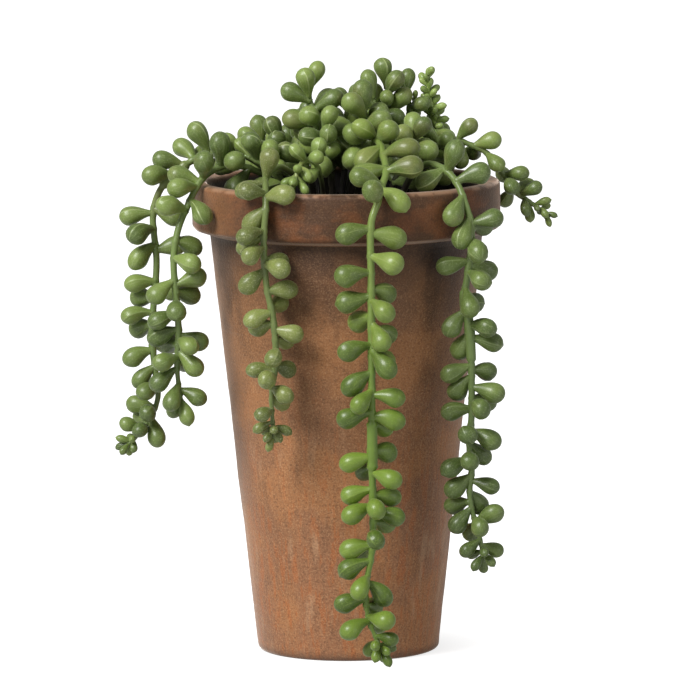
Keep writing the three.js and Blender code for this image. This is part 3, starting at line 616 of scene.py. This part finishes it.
class StemLine:
    """The smooth curve through a stem's route, measured by length."""

    def __init__(self, route):
        self.route = np.array(route, float)
        self.steps = np.linspace(0, 1, LINE_PARTS + 1)
        points = np.array([self.on_curve(step) for step in self.steps])
        gaps = np.linalg.norm(np.diff(points, axis=0), axis=1)
        self.lengths = np.concatenate([[0], np.cumsum(gaps)])
        self.length = self.lengths[-1]

    def on_curve(self, step):
        """The point at a step from 0 to 1, on a cubic curve between its two route points."""
        last = len(self.route) - 1
        i = min(int(step * last), last - 1)
        part = step * last - i
        start, end = self.route[i], self.route[i + 1]
        before = self.route[i - 1] if i > 0 else 2 * start - end
        after = self.route[i + 2] if i + 2 <= last else 2 * end - start
        leave, arrive = (end - before) / 2, (after - start) / 2
        bend = -3 * start + 3 * end - 2 * leave - arrive
        curl = 2 * start - 2 * end + leave + arrive
        return start + leave * part + bend * part ** 2 + curl * part ** 3

    def at(self, along):
        """The point and the direction at a length along the stem."""
        step = np.interp(along, self.lengths, self.steps)
        ahead = self.on_curve(min(1, step + NEAR_STEP))
        behind = self.on_curve(max(0, step - NEAR_STEP))
        return self.on_curve(step), unit(ahead - behind)


def stream(seed):
    """A seeded stream of numbers between 0 and 1."""
    state = SEED_STEP * (seed + 1)
    while True:
        state = state * DRAW_TIMES % DRAW_RANGE
        yield state / DRAW_RANGE


# The outline of the pot and its soil, as fine as the test for room needs it.
wall_line = np.array([
    *corner(FOOT_RADIUS - EDGE_ROUND, EDGE_ROUND, EDGE_ROUND, -90, 0, 3),
    OUTER_SHOULDER,
    *corner(RIM_RADIUS - EDGE_ROUND, POT_HEIGHT - RIM_BAND + EDGE_ROUND, EDGE_ROUND, -60, 0, 3),
    *corner(RIM_RADIUS - EDGE_ROUND, POT_HEIGHT - EDGE_ROUND, EDGE_ROUND, 0, 90, 3),
    *corner(INNER_RIM_RADIUS + EDGE_ROUND, POT_HEIGHT - EDGE_ROUND, EDGE_ROUND, 90, 180, 3),
    (inner_radius(SOIL_EDGE) - SOIL_GAP, SOIL_EDGE),
    (inner_radius(SOIL_EDGE) * SLOPE_REACH, SOIL_EDGE + SOIL_DOME * SLOPE_RISE),
    (0, SOIL_EDGE + SOIL_DOME),
])


def distance_to_pot(point):
    """The distance from a point to the outline of the pot and its soil."""
    flat = np.array([math.hypot(point[0], point[1]), point[2]])
    starts, ways = wall_line[:-1], np.diff(wall_line, axis=0)
    share = np.clip(((flat - starts) * ways).sum(1) / (ways ** 2).sum(1), 0, 1)
    return np.linalg.norm(starts + ways * share[:, None] - flat, axis=1).min()


class Room:
    """The room that stems and leaves take, as balls: middle, radius, stem and length along it.

    A leaf's ball has no length along the stem, and is never taken for the stem beside its root.
    """

    def __init__(self, stems):
        balls = []
        for stem in stems:
            line = stem["line"]
            steps = math.ceil(line.length / BALL_STEP)
            for step in range(steps + 1):
                along = line.length * step / steps
                balls.append((*line.at(along)[0], stem["radius"], stem["number"], along))
        self.balls = np.array(balls)

    def is_free(self, stem, leaf):
        """Whether a leaf has room beside the pot, the stems and the leaves before it."""
        own = self.balls[:, 4] == stem["number"]
        at_root = own & (np.abs(self.balls[:, 5] - leaf["along"]) < ROOT_REACH)
        reach = self.balls[:, 3] + np.where(own, ROOM_ON_OWN_STEM, ROOM_TO_OTHERS)
        for centre, radius, slim in leaf["balls"]:
            if distance_to_pot(centre) < radius + ROOM_TO_OTHERS:
                return False
            near = np.linalg.norm(self.balls[:, :3] - centre, axis=1) <= radius + reach
            if (near & ~(own if slim else at_root)).any():
                return False
        return True

    def take(self, stem, leaf):
        """Gives a leaf its room."""
        taken = [(*centre, radius, stem["number"], math.inf) for centre, radius, _ in leaf["balls"]]
        self.balls = np.concatenate([self.balls, taken])


stems = [USUAL | stem | dict(number=number) for number, stem in enumerate(STEMS)]
for stem in stems:
    stem["line"] = StemLine([(*stem["root"], level) for level in ROOT_LEVELS] + stem["route"])
room = Room(stems)


def leaf_at(stem, along, turn, lean, length):
    """A leaf at a length along its stem, turned round it and leaned towards its tip, in degrees."""
    root, tangent = stem["line"].at(along)
    facing = unit(np.array(stem["facing"], float))
    front = unit(facing - tangent * (facing @ tangent))
    side = np.cross(tangent, front)
    turn, lean = math.radians(turn), math.radians(lean)
    direction = front * math.cos(turn) + side * math.sin(turn)
    direction = direction * math.cos(lean) + tangent * math.sin(lean)
    root = root - direction * stem["radius"] * ROOT_SINK
    radius = length * LEAF_GIRTH
    leaf_balls = [(root + direction * length * at, radius * width, slim)
                  for at, width, slim in LEAF_BALLS]
    return dict(along=along, root=root, direction=direction, tangent=tangent,
                length=length, radius=radius, balls=leaf_balls)


def read_order(order):
    """The marks of an order, each with the + or - that follows it."""
    marks = []
    for letter in order:
        if letter in "+-":
            marks[-1] += letter
        else:
            marks.append(letter)
    return marks


def asked_leaves(stem):
    """The leaves that a stem asks for: those of its order, then the ones that close its tip."""
    length = stem["line"].length
    leafy = length - stem["bare"] - stem["radius"]
    marks = read_order(stem["order"])
    asked = []
    for i, mark in enumerate(marks):
        share = (i + 0.5) / len(marks)
        along = stem["bare"] + leafy * share
        to_tip = max(0, 1 - (length - along) / TIP_LENGTH)
        size = stem["leaf"] * (1 - LEAF_TAPER * share) * (1 - (1 - stem["tip"]) * to_tip)
        lean = stem["lean"] + to_tip * TIP_LEAN + LEAN_STEP * (("+" in mark) - ("-" in mark))
        if mark[0] == "^":
            asked.append((along, size, 0, STRAIGHT_ON))
        elif mark[0] != ".":
            asked.append((along, size, int(mark[0]) * EIGHTH_TURN, lean))
    for i in range(stem["rosette"]):
        share = (i + 0.5) / stem["rosette"]
        lean = ROSETTE_LEAN + (STRAIGHT_ON - ROSETTE_LEAN) * share
        asked.append((length - ROSETTE_LENGTH * (1 - share), stem["leaf"] * stem["tip"],
                      i * GOLDEN_ANGLE, lean))
    return asked


def settle(stem, along, turn, lean, size, sizes=SIZES, fits=lambda leaf: True):
    """A leaf in the first place near the given one that fits and has room, or None."""
    places = itertools.product(sizes, LEANS, TURNS)
    tries = (leaf_at(stem, along, turn + more_turn, lean + more_lean, size * share + stem["radius"])
             for share, more_lean, more_turn in places)
    leaf = next((leaf for leaf in tries if fits(leaf) and room.is_free(stem, leaf)), None)
    if leaf:
        room.take(stem, leaf)
    return leaf


def grow(stem):
    """The leaves that one stem asks for, where they have room."""
    draw = stream(stem["number"])
    leaves = []
    for along, size, turn, lean in asked_leaves(stem):
        size *= 1 + (next(draw) * 2 - 1) * LEAF_JITTER
        turn += (next(draw) * 2 - 1) * TURN_JITTER
        lean += (next(draw) * 2 - 1) * LEAN_JITTER
        leaves.append(settle(stem, along, turn, lean, size))
    return [leaf for leaf in leaves if leaf]


# More leaves fill the crown where the ones above leave room. They go round each upright stem by
# the golden angle, and end between the rim and a dome over the pot.
FILL_REACH, FILL_STEP, FILL_LEAF, FILL_SIZES = 30, 3.2, 15, (1, 0.85, 0.7)
YOUNG_LENGTH = 11
DOME_TOP, DOME_MIDDLE, DOME_FALL, DOME_FLOOR = 268, 6, 0.75, 226


def under_dome(leaf):
    """Whether a leaf ends between the rim and the dome over the pot, or is a small bud."""
    end = leaf["root"] + leaf["direction"] * leaf["length"]
    dome = DOME_TOP - DOME_FALL * math.hypot(end[0] - DOME_MIDDLE, end[1])
    return leaf["length"] < YOUNG_LENGTH or DOME_FLOOR < end[2] < dome


def fill(stem):
    """The leaves that fill the bare places of an upright stem."""
    length = stem["line"].length
    first = max(stem["bare"], length - FILL_REACH)
    step = -FILL_STEP * stem["leaf"] / FILL_LEAF
    leaves = []
    for i, along in enumerate(np.arange(length, first, step)):
        lean = stem["lean"] + TIP_LEAN * max(0, 1 - (length - along) / TIP_LENGTH)
        leaves.append(settle(stem, along, i * GOLDEN_ANGLE, lean, stem["leaf"],
                             FILL_SIZES, under_dome))
    return [leaf for leaf in leaves if leaf]


# The looks of a leaf, in shares of its length or radius. It bends down evenly from root to tip,
# by so many degrees. Half of the leaves have a raised seam along each side, and a few of them
# and all young ones end in a short point.
LEAF_RINGS, BELLY, BELLY_CHANGE, NECK, NECK_CHANGE = 18, 1.9, (0.88, 1.14), 0.34, (0.85, 1.15)
SEAM_WIDTH, SEAM_HEIGHT, SEAMED, SEAM_START = 6, 0.045, 0.5, 0.12
YOUNG_GIRTH = 0.8
OVAL, LUMP, LUMP_SIZE, TIP_POINT, TIP_SHARPNESS, POINTED = 0.05, 0.03, 1.3, 0.035, 0.006, 0.1
LEAF_BEND, BEND_CHANGE, BEND_STRENGTH = 26, 16, 1.4
HANG, HANG_TO_TIP, HANG_CHANGE = (0, 0, -0.8), 0.6, 0.25
half_round = [0, SEAM_WIDTH, *np.linspace(28, 152, 7), 180 - SEAM_WIDTH]
LEAF_ANGLES = np.radians([*half_round, *(np.array(half_round) + 180)])
ON_SEAM = np.isclose(np.degrees(LEAF_ANGLES) % 180, 0)
STEM_STEP, STEM_SIDES, STEM_RIDGES, RIDGE_HEIGHT, RIDGE_TWIST = 1.1, 12, 5, 0.05, 0.03
RIDGE_FACING, TAPER_FROM, STEM_END = (0.3, -1, 0.2), 0.8, 0.5
# A stem swells where leaves grow, and is painted with shade for so many millimetres from its root.
NODE_SWELL, NODE_WIDTH, ROOT_SHADE_LENGTH = 0.3, 1.1, 40
GRAIN_ALONG_LEAF, GRAIN_ALONG_STEM, GRAIN_SHIFT, LEAF_SEED = 0.5, 0.04, 50, 100


def tube_faces(rings, sides):
    """The faces of a tube of so many rings, closed at its start and open at its end."""
    faces = [tuple(range(sides - 1, -1, -1))]
    for k in range(0, (rings - 1) * sides, sides):
        for i in range(sides):
            j = (i + 1) % sides
            faces.append((k + i, k + j, k + sides + j, k + sides + i))
    return faces


def leaf_spine(leaf, shares, draw):
    """The middle line of a leaf, the ways along it, and the direction across its bend."""
    direction = leaf["direction"]
    down = leaf["tangent"] * HANG_TO_TIP + HANG + draw.normal(0, HANG_CHANGE, 3)
    down = down - direction * (down @ direction)
    bend = math.radians(draw.normal(LEAF_BEND, BEND_CHANGE))
    bend = bend * min(1, np.linalg.norm(down) * BEND_STRENGTH)
    down = unit(down)
    angle = bend * (shares - 0.5)[:, None]
    ways = direction * np.cos(angle) + down * np.sin(angle)
    steps = (ways[1:] + ways[:-1]) / 2 * np.diff(shares)[:, None] * leaf["length"]
    spine = leaf["root"] + np.concatenate([[np.zeros(3)], np.cumsum(steps, axis=0)])
    return spine, ways, np.cross(direction, down)


def leaf_mesh(leaf, draw):
    """The points, faces and surface values of one leaf: a club that bends down, with two seams."""
    shares = np.sin(np.linspace(0, math.pi / 2, LEAF_RINGS))
    belly = BELLY * draw.uniform(*BELLY_CHANGE)
    neck = NECK * draw.uniform(*NECK_CHANGE) * (1 - shares) ** 2
    young = leaf["length"] < YOUNG_LENGTH
    radii = leaf["radius"] * (YOUNG_GIRTH if young else 1)
    radii = radii * np.sqrt(np.sin(math.pi * shares ** belly).clip(0) + neck ** 2)
    spine, ways, across = leaf_spine(leaf, shares, draw)
    if young or draw.random() < POINTED:
        tip = leaf["length"] * TIP_POINT * np.exp((shares - 1) / TIP_SHARPNESS)
        spine += ways * tip[:, None]
    oval = 1 + OVAL * np.cos(2 * LEAF_ANGLES + draw.uniform(0, math.tau))
    seam = SEAM_HEIGHT * ON_SEAM * (draw.random() < SEAMED)
    angles = LEAF_ANGLES + draw.uniform(0, math.pi)
    shift = draw.uniform(0, GRAIN_SHIFT, 3)
    points, grain = [], []
    for share, radius, middle, way in zip(shares[:-1], radii, spine, ways):
        outward = across * np.cos(angles)[:, None] + np.cross(way, across) * np.sin(angles)[:, None]
        lump = np.array([ripple(middle + out * radius + shift, leaf["radius"] * LUMP_SIZE)
                         for out in outward])
        points.append(middle + outward * (radius * (oval + seam + LUMP * lump))[:, None])
        grain.append(np.column_stack([np.cos(LEAF_ANGLES), np.sin(LEAF_ANGLES),
                                      np.full(len(outward), share * GRAIN_ALONG_LEAF)]))
    points.append(spine[-1:])
    grain.append([[0, 0, GRAIN_ALONG_LEAF]])
    sides, rings = len(LEAF_ANGLES), LEAF_RINGS - 1
    last = (rings - 1) * sides
    tip_faces = [(last + i, last + (i + 1) % sides, last + sides) for i in range(sides)]
    share_of_point = np.append(np.repeat(shares[:-1], sides), 1)
    count = len(share_of_point)
    seam_of_point = np.append(np.tile(ON_SEAM * (seam.max() > 0), rings), 0)
    return dict(
        points=np.concatenate(points),
        faces=tube_faces(rings, sides) + tip_faces,
        grain=np.concatenate(grain) + shift,
        seam=seam_of_point * (share_of_point > SEAM_START),
        share=share_of_point,
        tone=np.full(count, draw.uniform()),
        root_shade=np.zeros(count),
    )


def stem_mesh(stem, draw):
    """The points, faces and surface values of a stem: a ridged tube, thicker where leaves grow."""
    line = stem["line"]
    count = math.ceil(line.length / STEM_STEP)
    alongs = np.linspace(0, line.length, count + 1)
    angles = np.arange(STEM_SIDES) * math.tau / STEM_SIDES
    front = np.array(RIDGE_FACING)
    roots = np.array([leaf["along"] for leaf in stem["leaves"]])
    points, grain = [], []
    for along in alongs:
        middle, tangent = line.at(along)
        front = unit(front - tangent * (front @ tangent))
        side = np.cross(tangent, front)
        swell = NODE_SWELL * np.exp(-((roots - along) / NODE_WIDTH) ** 2).max()
        taper = np.interp(along / line.length, (TAPER_FROM, 1), (1, STEM_END))
        for low, high, times in stem["sleeves"]:
            taper *= 1 + (times - 1) * (low < along < high)
        radius = stem["radius"] * taper + swell
        ridged = radius * (1 + RIDGE_HEIGHT * np.cos(STEM_RIDGES * angles + along * RIDGE_TWIST))
        outward = front * np.cos(angles)[:, None] + side * np.sin(angles)[:, None]
        points.append(middle + outward * ridged[:, None])
        grain.append(np.column_stack([np.cos(angles), np.sin(angles),
                                      np.full(STEM_SIDES, along * GRAIN_ALONG_STEM)]))
    total = (count + 1) * STEM_SIDES
    end_face = tuple(range(count * STEM_SIDES, total))
    return dict(
        points=np.concatenate(points),
        faces=tube_faces(count + 1, STEM_SIDES) + [end_face],
        grain=np.concatenate(grain) + draw.uniform(0, GRAIN_SHIFT, 3),
        seam=np.zeros(total),
        share=np.full(total, -1.0),
        tone=np.full(total, 0.5),
        # Near its root the stem is painted with shade.
        root_shade=np.repeat(1 - alongs / ROOT_SHADE_LENGTH, STEM_SIDES).clip(0, 1),
    )


def joined(name, parts):
    """One mesh object of several parts, with their surface values as attributes."""
    offsets = np.cumsum([0] + [len(part["points"]) for part in parts])
    faces = [tuple(point + offset for point in face)
             for part, offset in zip(parts, offsets) for face in part["faces"]]
    made = new_mesh(name, np.concatenate([part["points"] for part in parts]), faces)
    for value in ("share", "tone", "seam", "root_shade", "grain"):
        field, kind = ("vector", "FLOAT_VECTOR") if value == "grain" else ("value", "FLOAT")
        numbers = np.concatenate([part[value] for part in parts]).astype(np.float32)
        made.data.attributes.new(value, kind, "POINT").data.foreach_set(field, numbers.ravel())
    return made


# The skin that all leaves and stems have: two greens by leaf, pale stripes, seams and speckle, a
# stem of its own green, painted near-black with shade near its root, a brown blush above the rim,
# and a tint on what hangs low.
ROOT_SHADE, BLUSH = (0.022, 0.018, 0.012), (0.24, 0.19, 0.075)
skin = bpy.data.node_groups.new("plant_skin", "ShaderNodeTree")
for name in ("Light green", "Deep green", "Pale", "Stem", "Tint low down"):
    skin.interface.new_socket(name, in_out="INPUT", socket_type="NodeSocketColor")
skin.interface.new_socket("Speckle", in_out="INPUT", socket_type="NodeSocketFloat")
skin.interface.new_socket("Colour", in_out="OUTPUT", socket_type="NodeSocketColor")
skin.interface.new_socket("Relief", in_out="OUTPUT", socket_type="NodeSocketFloat")
given = skin.nodes.new("NodeGroupInput").outputs
share, tone, seam, root_shade = (
    add_node(skin, "ShaderNodeAttribute", {}, attribute_name=name).outputs["Fac"]
    for name in ("share", "tone", "seam", "root_shade")
)
along_leaf = add_node(skin, "ShaderNodeAttribute", {}, attribute_name="grain").outputs["Vector"]
place = skin.nodes.new("ShaderNodeTexCoord").outputs["Object"]
height = add_node(skin, "ShaderNodeSeparateXYZ", {"Vector": place}).outputs["Z"]

tone = maths(skin, "ADD", tone, maths(skin, "SUBTRACT", noisy(skin, place, 110), 0.5))
colour = mixed(skin, ramped(skin, tone, 0, 1), given["Deep green"], given["Light green"])
stripes = noisy(skin, along_leaf, 5, 2)
colour = mixed(skin, ramped(skin, stripes, 0.55, 0.75, 0, 0.3), colour, given["Pale"])
spots = speckled(skin, place, 1500, 0.54, 0.16)
colour = stained(skin, colour, spots, given["Speckle"], given["Pale"])
colour = stained(skin, colour, seam, ramped(skin, height, 0.18, 0.22, 0.35, 0.85), given["Pale"])
colour = stained(skin, colour, ramped(skin, share, 0.22, 0.02), 0.8, given["Stem"])
# Stems low in the pot are painted near-black: painted shade.
colour = mixed(skin, ramped(skin, root_shade, 0.05, 0.5), colour, ROOT_SHADE)
blush = ramped(skin, noisy(skin, place, 48), 0.53, 0.68)
blush = maths(skin, "MULTIPLY", blush, ramped(skin, height, 0.19, 0.21))
colour = stained(skin, colour, blush, 0.25, BLUSH)
tinted = mixed(skin, 1.0, colour, given["Tint low down"], "MULTIPLY")
colour = mixed(skin, ramped(skin, height, 0.2, 0.11), colour, tinted)
pores = maths(skin, "MULTIPLY", noisy(skin, place, 700, 2), 0.4)
relief = maths(skin, "ADD", maths(skin, "MULTIPLY", stripes, 0.6), pores)
group_output = skin.nodes.new("NodeGroupOutput")
skin.links.new(colour, group_output.inputs["Colour"])
skin.links.new(relief, group_output.inputs["Relief"])


def plant_material(name, speckle_share, **colours):
    """Soft, waxy leaf skin in its own greens, dull with fine bloom where it turns away."""
    material, tree, output = new_material(name)
    surface = add_node(tree, "ShaderNodeGroup", {}, node_tree=skin)
    for socket, colour in colours.items():
        surface.inputs[socket.replace("_", " ").capitalize()].default_value = (*colour, 1)
    surface.inputs["Speckle"].default_value = speckle_share
    bump = add_node(tree, "ShaderNodeBump", {
        "Strength": 0.35, "Distance": 0.0003, "Height": surface.outputs["Relief"],
    })
    waxy = add_node(tree, "ShaderNodeBsdfPrincipled", {
        "Base Color": surface.outputs["Colour"],
        "Roughness": 0.5,
        "Specular IOR Level": 0.4,
        "Coat Weight": 0.4,
        "Coat Roughness": 0.24,
        "Sheen Weight": 0.2,
        "Sheen Roughness": 0.35,
        "Sheen Tint": (0.85, 1, 0.6, 1),
        "Subsurface Weight": 0.12,
        "Subsurface Radius": (0.6, 1.0, 0.3),
        "Subsurface Scale": 0.002,
        "Normal": bump.outputs[0],
    })
    tree.links.new(waxy.outputs[0], output.inputs["Surface"])
    return material


plant_materials = {
    "leaf": plant_material(
        "leaf_green", 0.25, light_green=(0.215, 0.292, 0.066), deep_green=(0.09, 0.135, 0.028),
        pale=(0.42, 0.5, 0.22), stem=(0.155, 0.22, 0.06), tint_low_down=(0.82, 0.84, 0.82)),
    "rich_leaf": plant_material(
        "leaf_rich_green", 0.25, light_green=(0.215, 0.29, 0.055), deep_green=(0.095, 0.14, 0.023),
        pale=(0.4, 0.48, 0.17), stem=(0.185, 0.265, 0.055), tint_low_down=(0.72, 0.82, 0.46)),
    "grey_leaf": plant_material(
        "leaf_grey_green", 0.5, light_green=(0.21, 0.25, 0.06), deep_green=(0.11, 0.138, 0.03),
        pale=(0.42, 0.44, 0.22), stem=(0.14, 0.19, 0.05), tint_low_down=(1, 1, 1)),
    "young_leaf": plant_material(
        "leaf_pale_green", 0.2, light_green=(0.3, 0.4, 0.1), deep_green=(0.18, 0.26, 0.055),
        pale=(0.46, 0.56, 0.24), stem=(0.26, 0.35, 0.09), tint_low_down=(1, 1, 1)),
}
for stem in stems:
    stem["leaves"] = grow(stem)
for stem in stems:
    if stem["facing"] == UPRIGHT:
        stem["leaves"] += fill(stem)
    draw = np.random.default_rng(LEAF_SEED + stem["number"])
    parts = [stem_mesh(stem, draw), *[leaf_mesh(leaf, draw) for leaf in stem["leaves"]]]
    # A light below 1 keeps a stem's leaves nearer their deep green: painted shade.
    for part in parts:
        part["tone"] *= stem["light"]
    spray = joined(stem["name"] + "_spray", parts)
    spray.data.materials.append(plant_materials[stem.get("looks", stem["slot"])])
    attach(spray, "root")
    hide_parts(stem["name"])
